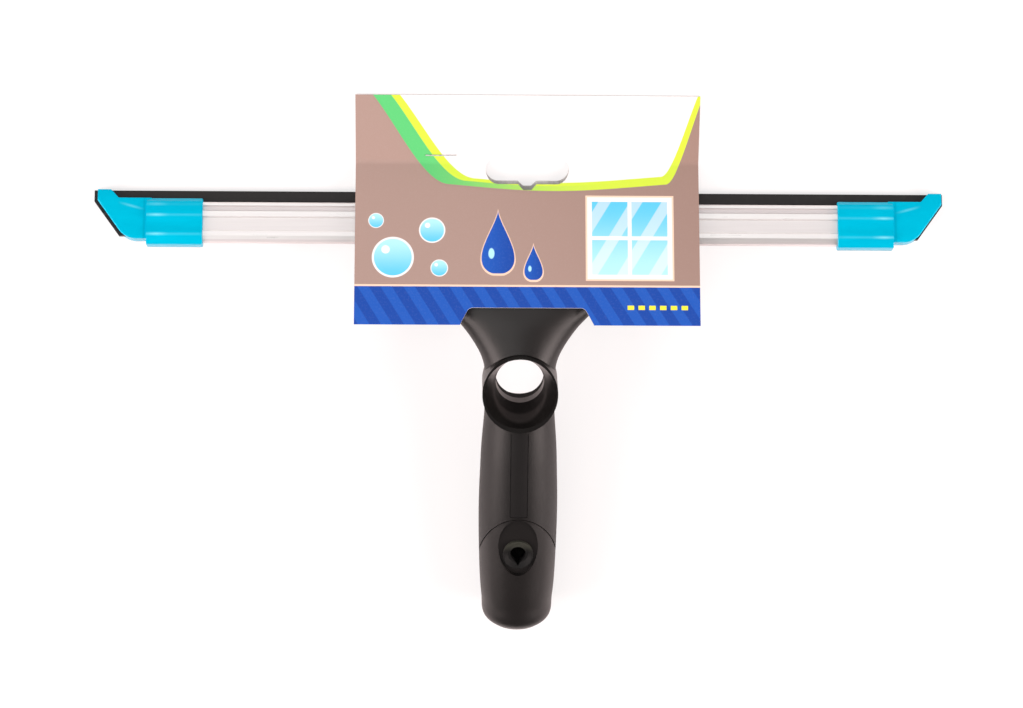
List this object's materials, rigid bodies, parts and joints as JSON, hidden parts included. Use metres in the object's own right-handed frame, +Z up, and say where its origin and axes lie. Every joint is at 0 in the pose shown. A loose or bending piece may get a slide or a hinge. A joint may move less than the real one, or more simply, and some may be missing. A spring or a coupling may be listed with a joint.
{
  "type": "window squeegee",
  "caption": "Window squeegee with a slim metal channel, a slant-ended rubber, clipped end wings, a moulded handle with a hang hole and a pole socket, and a printed card sleeve.",
  "frame": {"origin": "middle of the overall box at its bottom: the ground under the tool as it lies", "axes": "+X along the blade to the right, +Y from the handle's tail to the blade's edge, +Z up from the ground"},
  "size_m": [0.35, 0.2278, 0.0395],
  "materials": {
    "handle_black": "satin moulded",
    "grip_black": "soft-touch satin",
    "ring_black": "matte moulded",
    "inlay_black": "fine grained",
    "bezel_olive": "satin moulded",
    "channel_metal": "satin anodised",
    "blade_rubber": "smooth",
    "clip_cyan": "moulded",
    "card_print": "coated print",
    "staple_steel": "plated wire",
    "lever_black": "moulded",
    "pin_steel": "ground",
    "spring_steel": "drawn wire",
    "pad_rubber": "ribbed"
  },
  "bodies": {
    "handle": {"handle_core": "handle_black", "grip_sleeve": "grip_black", "neck_ring": "ring_black", "grip_inlay": "inlay_black", "lock_bezel": "bezel_olive", "jaw_pad_upper": "pad_rubber", "lever_pin": "pin_steel", "lever_spring": "spring_steel"},
    "lever": {"clamp_lever": "lever_black", "jaw_pad_lower": "pad_rubber"},
    "blade": {"channel": "channel_metal", "rubber_blade": "blade_rubber"},
    "clip_left": {"end_clip_left": "clip_cyan"},
    "clip_right": {"end_clip_right": "clip_cyan"},
    "card": {"card_sleeve": "card_print", "card_staple": "staple_steel"}
  },
  "joints": [
    {"name": "lever_hinge", "type": "hinge", "parent": "handle", "child": "lever", "pos_m": [0, 0.04604, 0.0176], "axis": [-1, 0, 0], "range_deg": [0, 5], "stiffness_Nm_per_rad": 1.2, "springref_deg": -9.74, "deforming": ["lever_spring"]},
    {"name": "blade_slide", "type": "slide", "parent": "handle", "child": "blade", "axis": [1, 0, 0], "range_m": [-0.05, 0.05]},
    {"name": "clip_left_slide", "type": "slide", "parent": "blade", "child": "clip_left", "axis": [-1, 0, 0], "range_m": [0, 0.045]},
    {"name": "clip_right_slide", "type": "slide", "parent": "blade", "child": "clip_right", "axis": [1, 0, 0], "range_m": [0, 0.045]},
    {"name": "card_slide", "type": "slide", "parent": "handle", "child": "card", "axis": [1, 0, 0], "range_m": [-0.002, 0.002]}
  ]
}
